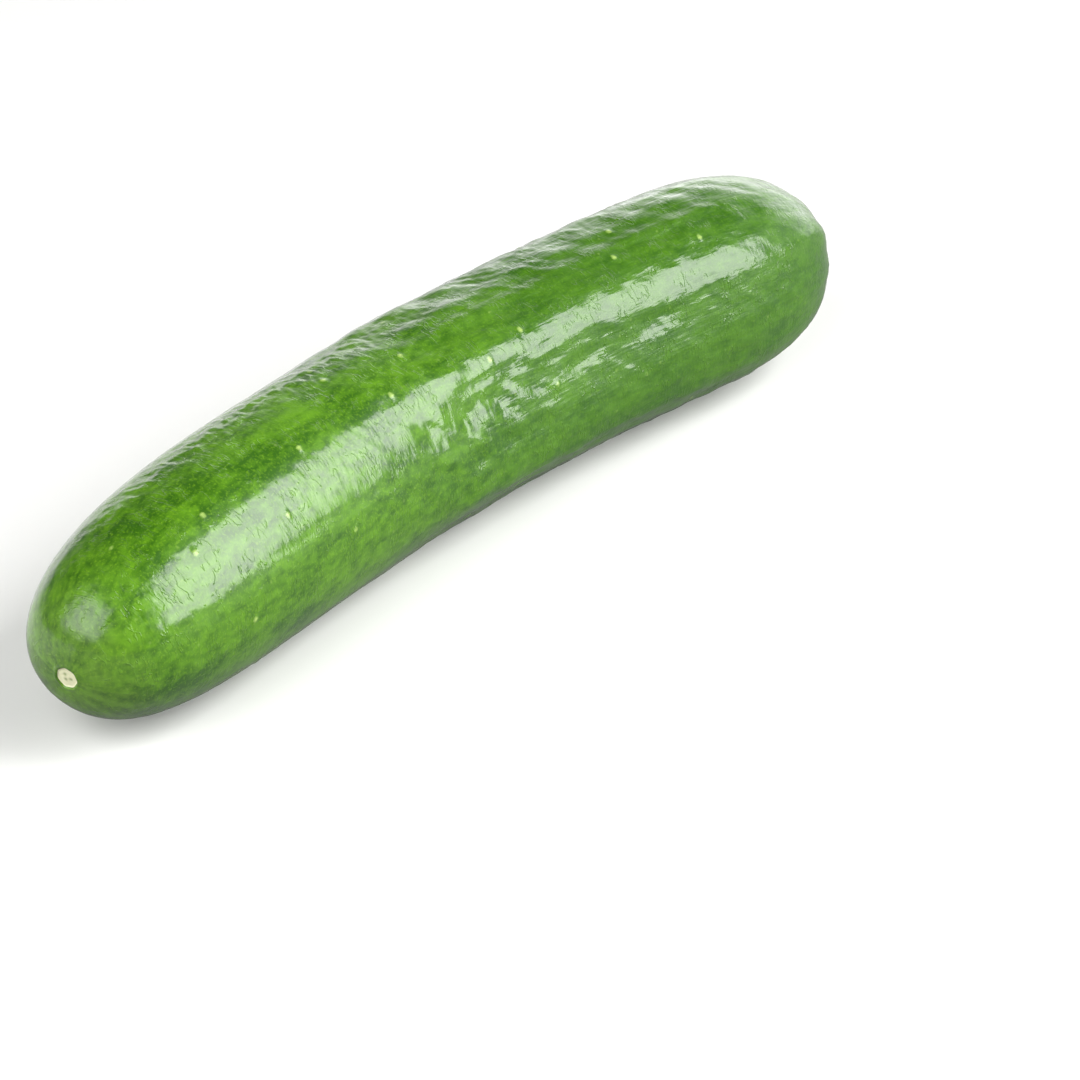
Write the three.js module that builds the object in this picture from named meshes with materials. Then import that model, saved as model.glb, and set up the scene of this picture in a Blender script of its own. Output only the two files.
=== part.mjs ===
// A whole cucumber as picked, lying on its side. It is one grown piece, so it is one mesh:
// a blunt blossom end with a small round scar, a long, bowed body with shallow lengthwise
// ribs, cross wrinkles and low warts, and a stem end with a short cut stub in a dimple.
// Units are millimetres. +X runs from the blossom end to the stem end, +Z is up, and the
// origin is on the surface that the fruit lies on, under the middle of its bounding box.
import * as THREE from "three";
import { mergeVertices } from "three/addons/utils/BufferGeometryUtils.js";

// Driving dimensions
const LENGTH = 213; // blossom tip to the shoulder round the stub
const DIAMETER = 42; // nominal, halfway along
const BOW = 11.5; // how far the middle stands sideways from a line through the ends
const NOD = 1.5; // how far the blossom tip droops
const NOD_REACH = 34;
const SEAT_DEPTH = 0.6; // the underside is pressed flat by this much

// Outline along the fruit
const BLOSSOM_CAP = 0.3; // share of the length over which the blossom end rounds off
const BLOSSOM_BLUNT = 3; // exponent of that rounding: 2 is an ellipse, more is blunter
const BLOSSOM_DOME = 0.7; // the very tip swells out by this much
const DOME_RADIUS = 9;
const STEM_CAP = 0.2;
const STEM_BLUNT = 2.35;
const SWELL_AT_BLOSSOM = 0.985; // thickness there, as a share of the nominal
const SWELL_TO_STEM = 0.045; // how much thicker the body gets towards the stem

// Blossom scar: a corky disc, sunk a little inside a low lip
const SCAR_RADIUS = 2.1;
const SCAR_SUNK = 0.3;
const SCAR_LIP = 0.3;

// Stem stub: what is left of the stalk, cut square, in a shallow dimple
const STUB_RADIUS = 3.6;
const STUB_TALL = 2.2;
const STUB_FOOT = 1.5; // width of the fillet at its root
const STUB_RIDGES = 5;
const STUB_RIDGE_HEIGHT = 0.35;
const DIMPLE_RADIUS = 11;
const DIMPLE_DEPTH = 2;

// Mesh
const AROUND = 68;
const ALONG = 74; // rings between the two end features
const FINE_STEPS = 4000; // steps in which the outline's arc length is measured

// Warts
const WART_COUNT = 62;
const WART_HEIGHT = 0.4;
const WART_WIDTH = 1.5;
const GOLDEN_TURN = 2.399963;

const RADIUS = DIAMETER / 2;
const TAU = Math.PI * 2;
const smoothstep = THREE.MathUtils.smoothstep;

// Radius of the plain body, share from 0 at the blossom tip to 1 at the stem shoulder.
function bodyRadius(share) {
  const swell = SWELL_AT_BLOSSOM + SWELL_TO_STEM * share * share;
  const nearBlossom = Math.max(0, 1 - share / BLOSSOM_CAP);
  const nearStem = Math.max(0, 1 - (1 - share) / STEM_CAP);
  const blossom = (1 - nearBlossom ** BLOSSOM_BLUNT) ** (1 / BLOSSOM_BLUNT);
  const stem = (1 - nearStem ** STEM_BLUNT) ** (1 / STEM_BLUNT);
  return RADIUS * swell * blossom * stem;
}

// How far the ends stand out from, or sink below, the plain outline at a radius.
function endShift(share, radius) {
  if (share < 0.5) return -BLOSSOM_DOME * (1 - smoothstep(radius, 0, DOME_RADIUS));
  return -DIMPLE_DEPTH * (1 - smoothstep(radius, STUB_RADIUS, DIMPLE_RADIUS));
}

// The body's outline as (radius, distance along) points an equal arc length apart,
// from the lip of the scar to the root of the stub.
function bodyOutline() {
  const fine = [];
  for (let i = 0; i <= FINE_STEPS; i++) {
    const share = (1 - Math.cos((Math.PI * i) / FINE_STEPS)) / 2;
    const radius = bodyRadius(share);
    fine.push(new THREE.Vector2(radius, LENGTH * share + endShift(share, radius)));
  }
  const reached = [0];
  for (let i = 1; i < fine.length; i++) {
    reached.push(reached[i - 1] + fine[i].distanceTo(fine[i - 1]));
  }
  const start = reached[fine.findIndex((p) => p.x > SCAR_RADIUS + 2 * SCAR_LIP)];
  const end = reached[fine.findLastIndex((p) => p.x > STUB_RADIUS + STUB_FOOT)];
  const outline = [];
  let next = 0;
  for (let i = 0; i <= ALONG; i++) {
    const wanted = start + ((end - start) * i) / ALONG;
    while (next < reached.length - 2 && reached[next + 1] < wanted) next++;
    const part = (wanted - reached[next]) / (reached[next + 1] - reached[next]);
    outline.push(fine[next].clone().lerp(fine[next + 1], part));
  }
  return outline;
}

// The whole outline, from the axis at the scar to the axis at the stub's cut face.
function wholeOutline() {
  const body = bodyOutline();
  const tipAt = body[0].y;
  const scar = [
    [0, SCAR_SUNK * 0.6],
    [SCAR_RADIUS * 0.4, SCAR_SUNK * 0.6],
    [SCAR_RADIUS * 0.8, SCAR_SUNK],
    [SCAR_RADIUS, SCAR_SUNK * 0.7],
    [SCAR_RADIUS + SCAR_LIP, -SCAR_LIP * 0.6],
  ];
  const rootAt = body[body.length - 1].y;
  const stub = [
    [STUB_RADIUS + STUB_FOOT * 0.35, 0.25],
    [STUB_RADIUS, STUB_TALL * 0.4],
    [STUB_RADIUS * 0.96, STUB_TALL * 0.7],
    [STUB_RADIUS, STUB_TALL - 0.25],
    [STUB_RADIUS * 0.92, STUB_TALL],
    [STUB_RADIUS * 0.5, STUB_TALL - 0.1],
    [0, STUB_TALL - 0.3],
  ];
  return [
    ...scar.map(([radius, sunk]) => new THREE.Vector2(radius, tipAt + sunk)),
    ...body,
    ...stub.map(([radius, tall]) => new THREE.Vector2(radius, rootAt + tall)),
  ];
}

// Lengthwise ribs: a faint three-sidedness everywhere, and flutes that wander as they
// run, hardly felt near the blossom end and strongest past the middle.
function ribs(along, angle) {
  const grown = 0.35 + 0.65 * smoothstep(along, 0.25 * LENGTH, 0.6 * LENGTH);
  const threeSided = 0.28 * Math.cos(3 * angle + 0.5 + 0.5 * Math.sin(along / 62));
  const fiveSided = 0.18 * Math.cos(5 * angle - 1.1 + along / 90);
  const flutes = 0.34 * Math.cos(10 * angle + 1.1 * Math.sin(along / 41 + 1));
  const between = 0.2 * Math.cos(13 * angle + 2 - along / 60);
  return threeSided + grown * (fiveSided + flutes + between);
}

// Cross wrinkles: short swells between the ribs, in patches.
function wrinkles(along, angle) {
  const wander = 1.6 * Math.sin(2 * angle + along / 33) + 1.1 * Math.sin(5 * angle);
  const patch = 0.55 + 0.45 * Math.sin(along / 24 + 3 * angle + 1.2);
  const short = Math.sin((TAU * along) / 11 + wander) * Math.cos(8 * angle + along / 19);
  const long = Math.sin((TAU * along) / 27 + 2 * angle + 0.7);
  return 0.24 * patch * short + 0.15 * long;
}

// Creases that run together towards the stub and, fainter, towards the scar.
function endCreases(along, angle, radius) {
  const atStem = along > LENGTH / 2;
  const depth = atStem ? 0.45 : 0.16;
  const inner = atStem ? STUB_RADIUS + STUB_FOOT : SCAR_RADIUS + 1;
  const outer = atStem ? 16 : 9;
  const fadeIn = smoothstep(radius, inner, inner + 3);
  const fadeOut = 1 - smoothstep(radius, inner + 3, outer);
  return -depth * fadeIn * fadeOut * (0.5 + 0.5 * Math.cos(9 * angle + along / 40));
}

// Each wart's middle is a point of the mesh, so that none falls between two.
function wartPlaces(outline) {
  const first = 9;
  const last = outline.length - 17;
  const places = [];
  for (let i = 0; i < WART_COUNT; i++) {
    const ring = Math.round(first + ((last - first) * (i + 0.5)) / WART_COUNT);
    const step = Math.round(((i * GOLDEN_TURN + 0.35 * Math.sin(i * 5.1)) / TAU) * AROUND);
    places.push({
      along: outline[ring].y,
      angle: (step / AROUND) * TAU,
      height: WART_HEIGHT * (0.65 + 0.35 * Math.sin(i * 2.7)),
    });
  }
  return places;
}

function warts(places, along, angle) {
  let height = 0;
  for (const wart of places) {
    const lengthwise = along - wart.along;
    if (Math.abs(lengthwise) > 4 * WART_WIDTH) continue;
    const turn = angle - wart.angle;
    const round = RADIUS * Math.atan2(Math.sin(turn), Math.cos(turn));
    height += wart.height * Math.exp(-(lengthwise ** 2 + round ** 2) / WART_WIDTH ** 2);
  }
  return height;
}

// How far the skin stands out from the plain outline at a point of it.
function relief(places, along, angle, radius) {
  if (along > LENGTH / 2 && radius < STUB_RADIUS + STUB_FOOT) {
    const toRim = smoothstep(radius, STUB_RADIUS * 0.4, STUB_RADIUS);
    return STUB_RIDGE_HEIGHT * toRim * Math.cos(STUB_RIDGES * angle + 0.4);
  }
  const fullness = smoothstep(radius, SCAR_RADIUS, RADIUS);
  const onBody = fullness * (ribs(along, angle) + wrinkles(along, angle));
  return onBody + endCreases(along, angle, radius) + warts(places, along, angle);
}

// The bowed middle line at a distance along it: its place, and the two directions that
// a cross-section is drawn in, sideways and upwards.
function middleLine(along) {
  const share = (2 * along) / LENGTH - 1;
  const heading = Math.atan((-4 * BOW * share) / LENGTH);
  const toTip = Math.max(0, 1 - along / NOD_REACH);
  const pitch = Math.atan((2 * NOD * toTip) / NOD_REACH);
  return {
    place: new THREE.Vector3(along, BOW * (1 - share * share), -NOD * toTip * toTip),
    sideways: new THREE.Vector3(-Math.sin(heading), Math.cos(heading), 0),
    upwards: new THREE.Vector3(
      -Math.sin(pitch) * Math.cos(heading),
      -Math.sin(pitch) * Math.sin(heading),
      Math.cos(pitch),
    ),
  };
}

// The solid: the outline turned about its axis, then carved, bowed and laid on its seat.
function fruitGeometry() {
  const outline = wholeOutline();
  const places = wartPlaces(outline);
  const turned = new THREE.LatheGeometry(outline, AROUND);
  turned.deleteAttribute("normal");
  turned.deleteAttribute("uv");
  const geometry = mergeVertices(turned, 1e-4);
  const position = geometry.getAttribute("position");
  const point = new THREE.Vector3();
  for (let i = 0; i < position.count; i++) {
    point.fromBufferAttribute(position, i);
    const along = point.y;
    const radius = Math.hypot(point.x, point.z);
    const angle = Math.atan2(point.z, point.x);
    const grown = radius < 1e-3 ? 0 : radius + relief(places, along, angle, radius);
    const { place, sideways, upwards } = middleLine(along);
    point.copy(place);
    point.addScaledVector(sideways, grown * Math.sin(angle));
    point.addScaledVector(upwards, grown * Math.cos(angle));
    point.z = Math.max(point.z, SEAT_DEPTH - RADIUS);
    position.setXYZ(i, point.x, point.y, point.z);
  }
  geometry.computeBoundingBox();
  const { min, max } = geometry.boundingBox;
  geometry.translate(-(min.x + max.x) / 2, -(min.y + max.y) / 2, -min.z);
  geometry.computeVertexNormals();
  return geometry;
}

const skin = new THREE.MeshStandardMaterial({
  color: 0x3f8a12,
  roughness: 0.3,
  metalness: 0,
});

const cucumber = new THREE.Mesh(fruitGeometry(), skin);
cucumber.name = "cucumber";

const fruit = new THREE.Group();
fruit.add(cucumber);

export default fruit;
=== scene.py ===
# A whole cucumber lying on its side on a pale floor, in soft studio light.
#
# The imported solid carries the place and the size. One finer piece stands for it here: the
# same body of the same measurements, with the furrows, crinkles and warts of the real skin.
# Lengths are worked out in millimetres along the fruit, and become metres at the very end.

import math

import bmesh
import bpy
from mathutils import Matrix, Vector, noise


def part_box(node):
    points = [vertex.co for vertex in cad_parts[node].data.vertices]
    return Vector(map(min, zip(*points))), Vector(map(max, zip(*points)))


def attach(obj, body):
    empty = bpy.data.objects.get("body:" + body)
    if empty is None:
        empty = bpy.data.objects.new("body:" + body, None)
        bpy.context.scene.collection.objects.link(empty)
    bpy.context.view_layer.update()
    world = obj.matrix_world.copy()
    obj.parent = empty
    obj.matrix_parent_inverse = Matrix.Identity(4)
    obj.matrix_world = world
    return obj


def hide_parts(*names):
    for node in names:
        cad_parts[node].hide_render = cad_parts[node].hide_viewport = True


bl_info = {
    "name": "Cucumber",
    "version": (1, 0, 0),
    "blender": (4, 5, 0),
    "location": "3D View > Sidebar > Cucumber",
    "description": "Builds a whole cucumber with waxy skin, and a small studio round it",
    "category": "Add Mesh",
}

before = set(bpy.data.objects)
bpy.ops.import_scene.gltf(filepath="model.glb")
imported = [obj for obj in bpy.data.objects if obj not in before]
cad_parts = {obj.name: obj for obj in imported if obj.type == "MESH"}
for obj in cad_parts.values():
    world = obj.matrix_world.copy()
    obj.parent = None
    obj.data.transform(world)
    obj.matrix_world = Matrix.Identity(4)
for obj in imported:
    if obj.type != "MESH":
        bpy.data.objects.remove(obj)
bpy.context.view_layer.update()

MM = 0.001
TAU = 2 * math.pi

# The outline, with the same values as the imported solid: in mm, with the caps as shares of
# the length and the swell as a share of the radius
NOD = 1.5
NOD_REACH = 34
SEAT_DEPTH = 0.6
BLOSSOM_CAP = 0.3
BLOSSOM_BLUNT = 3
BLOSSOM_DOME = 0.7
DOME_RADIUS = 9
STEM_CAP = 0.2
STEM_BLUNT = 2.35
SWELL_AT_BLOSSOM = 0.985
SWELL_TO_STEM = 0.045
SCAR_RADIUS = 2.1
SCAR_LIP = 0.3
STUB_RADIUS = 3.6
STUB_TALL = 2.2
STUB_FOOT = 1.5
STUB_RIDGES = 5
DIMPLE_RADIUS = 11
DIMPLE_DEPTH = 2

# The scar's face lies in a shallow hollow inside its lip, and bulges again in its middle. The
# hollow's wall runs between these distances from the scar's edge.
HOLLOW_DEPTH = 0.26
HOLLOW_WALL = (-0.35, 0.2)
FACE_BULGE = 0.14
LIP_HEIGHT = 0.16
LIP_WIDTH = 0.28
LOBES = 7
LOBE_HEIGHT = 0.05
# Pits in the scar, where the flower's threads ran: the angle round it in radians, the
# distance from its middle and the half width
SCAR_PITS = ((0.6, 0.7, 0.34), (2.5, 0.6, 0.3), (4.4, 0.75, 0.32))
PIT_DEPTH = 0.12

# The stub's outline: how far out past its radius, and how far up from its foot
STUB_OUTLINE = ((STUB_FOOT, 0), (0.55, 0.22), (0.1, 0.8), (-0.12, 1.4), (0, STUB_TALL - 0.2),
                (-0.25, STUB_TALL), (-STUB_RADIUS / 2, STUB_TALL - 0.12),
                (-STUB_RADIUS, STUB_TALL - 0.35))
STUB_RIDGE_HEIGHT = 0.35

# How finely the body is divided: quads about 0.45 mm long and 0.75 mm wide
AROUND = 176
RINGS = 556
SCAR_RINGS = 16
STUB_RINGS = 20
# The stub's lowest rings are its foot, where the skin still runs up
FOOT_RINGS = 4
# Steps in which the outline is measured, before the rings are set an equal arc apart
OUTLINE_STEPS = 6000
# The order of the piece's materials
SKIN, SCAR, STALK = 0, 1, 2

# The blossom half is round and smooth. Past it the fruit has five soft sides, and on each
# of their crests the flutes and the fine ribs stand out. Millimetres along the fruit.
SMOOTH_TO = 74
SIDED_FROM = 100
# The crest that faces the camera: degrees round the fruit where the sides begin, 0 on top
# and negative towards the front, and how far it turns down in each millimetre
CREST = -37
CREST_TURN = -0.13
# The waist, where the flutes are deepest: its middle, its half length, and how much deeper
WAIST = 106
WAIST_REACH = 24
WAIST_GAIN = 1.8
SIDES = 5
FLUTES = 10
FINE_RIBS = 26
FINE_RIB_SHARE = 0.25
# The whole fruit is also a little three-sided
THREE_SIDED_HEIGHT = 0.28
# Swells across the fruit: mm from crest to crest, and how high the long ones are beside
# the short ones
SHORT_SWELL = 11
LONG_SWELL = 27
LONG_SWELL_SHARE = 0.6

# Ridges and furrows that run lengthwise: (from, to) in mm along the fruit, the angle round
# it in degrees at their middle, the drift in degrees from end to end, the height in mm,
# below 0 for a furrow, and the half width in mm. Each is at full height between two shares
# of its length, and has none left past so many half widths.
RIDGE_FULL = (0.2, 0.75)
RIDGE_REACH = 3
RIDGES = (
    (96, 134, -47, -4, -0.24, 0.6),
    (112, 148, -54.5, -8, -0.24, 0.6),
    (142, 174, -59.5, -4, -0.20, 0.6),
    (30, 84, -66.5, 0, -0.08, 0.5),
    (2, 16, -31, 0, 0.10, 0.5),
    (88, 198, -13, -4, 0.26, 1.7),
    (130, 188, -17.5, -3, -0.20, 0.6),
    (84, 186, -5, -2, -0.16, 1.7),
    (96, 192, 3, 0, 0.16, 1.7),
    (30, 192, 19, 2, 0.10, 1.4),
    (96, 190, 33, -4, -0.20, 1.2),
    (40, 150, 52, 6, 0.16, 1.4),
    (90, 196, 76, -8, -0.20, 0.9),
    (24, 130, 98, 6, 0.12, 1.2),
    (80, 190, 121, 4, -0.20, 1.1),
    (30, 120, 142, -5, 0.14, 1.3),
    (84, 196, -164, -6, -0.20, 1.0),
    (36, 140, -141, 6, 0.14, 1.2),
    (90, 192, -118, -5, -0.20, 1.0),
    (70, 130, -95, 4, 0.12, 1.2),
)

# Dents and patches that are fainter than this on a ring are left out there, to save time
FAINT_DENT = 0.005
FAINT_PATCH = 0.02
# Shallow dents: mm along the fruit and half length, degrees round it, half width and depth
# in mm
DENTS = (
    (101, 13, -57, 6, 0.5),
    (128, 48, -70, 7, 1.1),
    (112, 4, -50.5, 1.8, 0.3),
    (135, 5, -61.5, 1.8, 0.35),
    (152, 6, -62, 1.8, 0.35),
    (150, 14, 62, 6, 0.5),
    (74, 12, 150, 7, 0.4),
)

# Patches of stronger creases across the fruit, and patches of stronger pebbling: mm along
# the fruit and half length, degrees round it and half width in degrees, and the strength
CREASED = (
    (104, 16, -60, 15, 1.4),
    (112, 90, 16, 12, 0.8),
    (60, 45, 120, 30, 0.8),
    (150, 30, -140, 26, 1.0),
    (104, 20, 80, 20, 1.2),
)
PEBBLED = (
    (56, 44, 17, 13, 4.0),
    (104, 18, -58, 16, 1.0),
    (14, 14, -20, 70, 0.8),
)

# Noise in the fine relief: its size in mm along the fruit and across it
CREASE_PATCHES = (22, 14)
WANDER = (9, 6)
CREASES = (1.15, 4.2)
COARSE_CREASES = (2.6, 5.5)
PEBBLES = (1.05, 1.2)
LUMPS = (2.6, 2.2)
FOLDS = (9, 1.5)
SLANTED_FOLDS = (18, 2.2)
# What each of them adds, in crinkle heights
CREASES_LEAST = 0.12
CREASES_IN_PATCHES = 0.35
COARSE_SHARE = 1.2
PEBBLES_LEAST = 0.3
LUMP_SHARE = 1.4
FOLD_SHARE = 2.0
SLANTED_SHARE = 2.4
# How far the slanted folds turn round the fruit in each millimetre, in radians
SLANT = 0.036
# The fine relief has its full height where the fruit's radius is more than this
FINE_FROM = 8

# Creases that gather at the ends: how many, and at each end their depth and the radii
# between which they show
END_CREASES = 9
BLOSSOM_CREASES = (0.12, SCAR_RADIUS + 1, 9)
STEM_CREASES = (0.45, STUB_RADIUS + STUB_FOOT, 16)
END_CREASE_RISE = 3

WART_COUNT = 56
WART_WIDTH = 0.75
# Past this many widths a wart has no height left
WART_REACH = 4
# The ring round each wart: its radius and half width in wart widths, and its depth as a
# share of the wart's height
MOAT_RADIUS = 1.7
MOAT_WIDTH = 0.6
MOAT_SHARE = 0.3
# The warts begin this far from the blossom end, and stop this far from the stem end
WARTS_FROM = 14
WARTS_SHORT = 30
GOLDEN_TURN = 2.399963
# Warts that the photo shows: mm along the fruit, degrees round it
SEEN_WARTS = ((77, 0), (58, -27), (84, -30), (120, -34), (152, -20), (30, -90), (24, -38))

# Softboxes: name, azimuth and elevation in degrees, distance, width and height in metres,
# radiance, roll in degrees, and how far the left, right, lower and upper edges fade in. The
# key stands to the right of the camera and gives the long highlight. The others stand to the
# camera's left and behind the fruit, where they light its upper edge.
SOFTBOXES = (
    ("key_softbox", 32.4, 31.5, 0.9, (0.78, 0.91), 9.2, -19, (0.1, 0.17, 0.04, 0.04)),
    ("left_softbox", -92, 38, 0.9, (1.15, 1.1), 4.8, 0, (0.3, 0.3, 0.3, 0.3)),
    ("back_wall_right", 100.5, 12, 1.2, (2.1, 1.3), 3.8, 0, (0.53, 0.21, 0.5, 0.8)),
    ("back_wall_left", 143, 2, 1.2, (1.1, 0.5), 1.7, 0, (0.35, 0.35, 0.3, 0.6)),
)
# The point that the softboxes face, half as high as the fruit
LIT_POINT = Vector((0, 0, 0.02))
# How bright the world is to the fruit, and to the camera
WORLD_LIGHT = 0.1
BACKDROP = 0.95
# Half the width of the floor, and how far the camera sees, in metres
FLOOR_REACH = 4
CLIP_END = 20
# The camera that was fitted to the photo's outline: where it stands and looks, in metres, and
# its lens and sensor in mm
CAMERA_PLACE = Vector((-0.4926, -0.4518, 0.4106))
CAMERA_LOOK = Vector((0.6421, 0.5540, -0.5299))
LENS = 133.33
SENSOR = 36


def to_linear(code):
    """A colour given as an sRGB hex code, as linear red, green, blue."""
    channels = [int(code[i:i + 2], 16) / 255 for i in (0, 2, 4)]
    return tuple(c / 12.92 if c <= 0.04045 else ((c + 0.055) / 1.055) ** 2.4
                 for c in channels)


def smoothstep(value, low, high):
    part = min(1.0, max(0.0, (value - low) / (high - low)))
    return part * part * (3 - 2 * part)


def turn_between(a, b):
    """The angle from b to a, between minus and plus half a turn."""
    return math.atan2(math.sin(a - b), math.cos(a - b))


def grain(size, place, away=(0, 0, 0)):
    """Noise at a place on the unbent fruit: along, sideways, up. Size is that of its lumps
    along the fruit and across it, and away moves to another part of the noise."""
    long, wide = size
    return noise.noise(Vector((place[0] / long + away[0], place[1] / wide + away[1],
                               place[2] / wide + away[2])))


def colour_setting(name, description, code):
    return bpy.props.FloatVectorProperty(
        name=name, description=description, default=to_linear(code),
        size=3, min=0, max=1, subtype="COLOR")


class CucumberSettings(bpy.types.PropertyGroup):
    """The sizes and colours of the cucumber."""

    length: bpy.props.FloatProperty(
        name="Length", description="Blossom tip to the shoulder round the stub",
        default=0.213, min=0.05, unit="LENGTH")
    diameter: bpy.props.FloatProperty(
        name="Diameter", description="Nominal thickness, halfway along",
        default=0.042, min=0.01, unit="LENGTH")
    bow: bpy.props.FloatProperty(
        name="Bow", description="How far the middle stands sideways from a straight line",
        default=0.0115, unit="LENGTH")
    side_height: bpy.props.FloatProperty(
        name="Side height", description="Height of the crests of the five soft sides",
        default=0.0005, unit="LENGTH")
    flute_height: bpy.props.FloatProperty(
        name="Flute height", description="Height of the flutes on the sides",
        default=0.00012, unit="LENGTH")
    wrinkle_height: bpy.props.FloatProperty(
        name="Wrinkle height", description="Height of the swells across the fruit",
        default=0.0001, unit="LENGTH")
    crinkle_height: bpy.props.FloatProperty(
        name="Crinkle height", description="Height of the fine creases across the skin",
        default=0.00005, unit="LENGTH")
    wart_height: bpy.props.FloatProperty(
        name="Wart height", description="How far the small warts stand out",
        default=0.00018, unit="LENGTH")
    deep_green: colour_setting("Deep green", "The darker green of the skin", "2b5702")
    leaf_green: colour_setting("Leaf green", "The lighter green of the skin", "558610")
    cell_green: colour_setting(
        "Cell green", "Single pale cells that show through the wax", "6f9c1c")
    pale_green: colour_setting(
        "Pale green", "Flecks, warts and the streaks at the blossom end", "a8c468")
    scar_cream: colour_setting("Scar cream", "The corky scar at the blossom end", "e9e6c8")
    scar_shade: colour_setting("Scar shade", "The darker grain of the scar's cork", "cfd0a4")
    pit_green: colour_setting("Pit green", "The pits in the scar", "8b9a66")
    stalk_green: colour_setting("Stalk green", "The darker fibres of the stub", "6d7f3a")
    stalk_straw: colour_setting("Stalk straw", "The paler fibres of the stub", "b9b684")
    floor_white: colour_setting("Floor white", "The pale floor", "e8e8e6")
    # Painted shade: the grey that the floor in front shows to the fruit, in place of real shade
    # there
    floor_shade: colour_setting(
        "Floor shade", "The floor in front, as the underside mirrors it", "8a8c8a")


# Materials

def add(tree, kind, settings=None, links=None):
    """Adds a node, sets its properties and unlinked inputs, and links the others."""
    node = tree.nodes.new(kind)
    for name, value in (settings or {}).items():
        if isinstance(name, int) or name in node.inputs:
            node.inputs[name].default_value = value
        else:
            setattr(node, name, value)
    for name, output in (links or {}).items():
        tree.links.new(output, node.inputs[name])
    return node


def opaque(colour):
    return (*colour, 1.0)


def new_material(name):
    material = bpy.data.materials.new(name)
    material.use_nodes = True
    material.node_tree.nodes.clear()
    return material, material.node_tree


def skin_colour(tree, settings, place, mottles, clouds):
    """The green of the cells under the wax, from its broadest pattern to its finest."""
    parts = add(tree, "ShaderNodeSeparateXYZ", None, {"Vector": place}).outputs
    across = add(tree, "ShaderNodeCombineXYZ", None, {"Y": parts["Y"], "Z": parts["Z"]})
    outward = add(tree, "ShaderNodeVectorMath", {"operation": "NORMALIZE"},
                  {0: across.outputs["Vector"]}).outputs["Vector"]

    # Streaks that follow the ribs, about 5 mm wide and 28 mm long
    streak_round = add(tree, "ShaderNodeVectorMath", {"operation": "SCALE", "Scale": 4.2},
                       {0: outward})
    streak_place = add(tree, "ShaderNodeVectorMath",
                       {"operation": "MULTIPLY_ADD", 1: (0.035, 0, 0)},
                       {0: place, 2: streak_round.outputs["Vector"]})
    streaks = add(tree, "ShaderNodeTexNoise", {"Scale": 1.0, "Detail": 3.0},
                  {"Vector": streak_place.outputs["Vector"]})
    broad_tone = add(tree, "ShaderNodeMath", {"operation": "ADD"},
                     {0: streaks.outputs["Fac"], 1: clouds})
    tone = add(tree, "ShaderNodeMath", {"operation": "MULTIPLY_ADD", 1: 1.5},
               {0: mottles, 2: broad_tone.outputs["Value"]})
    tone_step = add(tree, "ShaderNodeMapRange", {"From Min": 1.42, "From Max": 2.04},
                    {"Value": tone.outputs["Value"]})
    # The stem half is darker than the blossom half: partly the deeper green of the fruit's own
    # stem end, partly painted shade for the light that falls less on that half
    blossom_paler_stem_shaded = add(tree, "ShaderNodeMapRange",
                {"interpolation_type": "SMOOTHSTEP", "From Min": 60.0, "From Max": 150.0,
                 "To Min": 1.0, "To Max": 0.4}, {"Value": parts["X"]}).outputs["Result"]
    leaf_share = add(tree, "ShaderNodeMath", {"operation": "MULTIPLY"},
                     {0: tone_step.outputs["Result"], 1: blossom_paler_stem_shaded})
    green = add(tree, "ShaderNodeMix",
                {"data_type": "RGBA", 6: opaque(settings.deep_green),
                 7: opaque(settings.leaf_green)},
                {0: leaf_share.outputs["Value"]})

    # Pale cells 0.5 mm across that show through the wax
    cells = add(tree, "ShaderNodeTexNoise", {"Scale": 2.0, "Detail": 2.0}, {"Vector": place})
    cell_step = add(tree, "ShaderNodeMapRange",
                    {"From Min": 0.52, "From Max": 0.75, "To Max": 0.5},
                    {"Value": cells.outputs["Fac"]})
    # The pale cells fade towards the stem with the same painted shade
    cell_share = add(tree, "ShaderNodeMath", {"operation": "MULTIPLY"},
                     {0: cell_step.outputs["Result"], 1: blossom_paler_stem_shaded})
    mottled = add(tree, "ShaderNodeMix",
                  {"data_type": "RGBA", 7: opaque(settings.cell_green)},
                  {0: cell_share.outputs["Value"], 6: green.outputs[2]})

    # Scattered flecks up to 0.8 mm across, one in about 110 square millimetres
    flecks = add(tree, "ShaderNodeTexVoronoi", {"Scale": 1 / 4.5}, {"Vector": place})
    fleck_step = add(tree, "ShaderNodeMapRange",
                     {"From Min": 0.04, "From Max": 0.09, "To Min": 0.16, "To Max": 0.0},
                     {"Value": flecks.outputs["Distance"]})
    flecked = add(tree, "ShaderNodeMix",
                  {"data_type": "RGBA", 7: opaque(settings.pale_green)},
                  {0: fleck_step.outputs["Result"], 6: mottled.outputs[2]})

    # The skin is a little paler in the last 9 mm before the blossom scar, in short streaks
    ray_round = add(tree, "ShaderNodeVectorMath", {"operation": "SCALE", "Scale": 5.0},
                    {0: outward})
    ray_place = add(tree, "ShaderNodeVectorMath",
                    {"operation": "MULTIPLY_ADD", 1: (0.22, 0.22, 0.22)},
                    {0: place, 2: ray_round.outputs["Vector"]})
    rays = add(tree, "ShaderNodeTexNoise", {"Scale": 1.0, "Detail": 3.0},
               {"Vector": ray_place.outputs["Vector"]})
    ray_fade = add(tree, "ShaderNodeMapRange",
                   {"From Max": 9.0, "To Min": 0.13, "To Max": 0.0}, {"Value": parts["X"]})
    ray_step = add(tree, "ShaderNodeMapRange",
                   {"From Min": 0.3, "From Max": 0.7, "To Min": 0.4},
                   {"Value": rays.outputs["Fac"]})
    ray_share = add(tree, "ShaderNodeMath", {"operation": "MULTIPLY"},
                    {0: ray_fade.outputs["Result"], 1: ray_step.outputs["Result"]})
    rayed = add(tree, "ShaderNodeMix",
                {"data_type": "RGBA", 7: opaque(settings.pale_green)},
                {0: ray_share.outputs["Value"], 6: flecked.outputs[2]})

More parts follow.
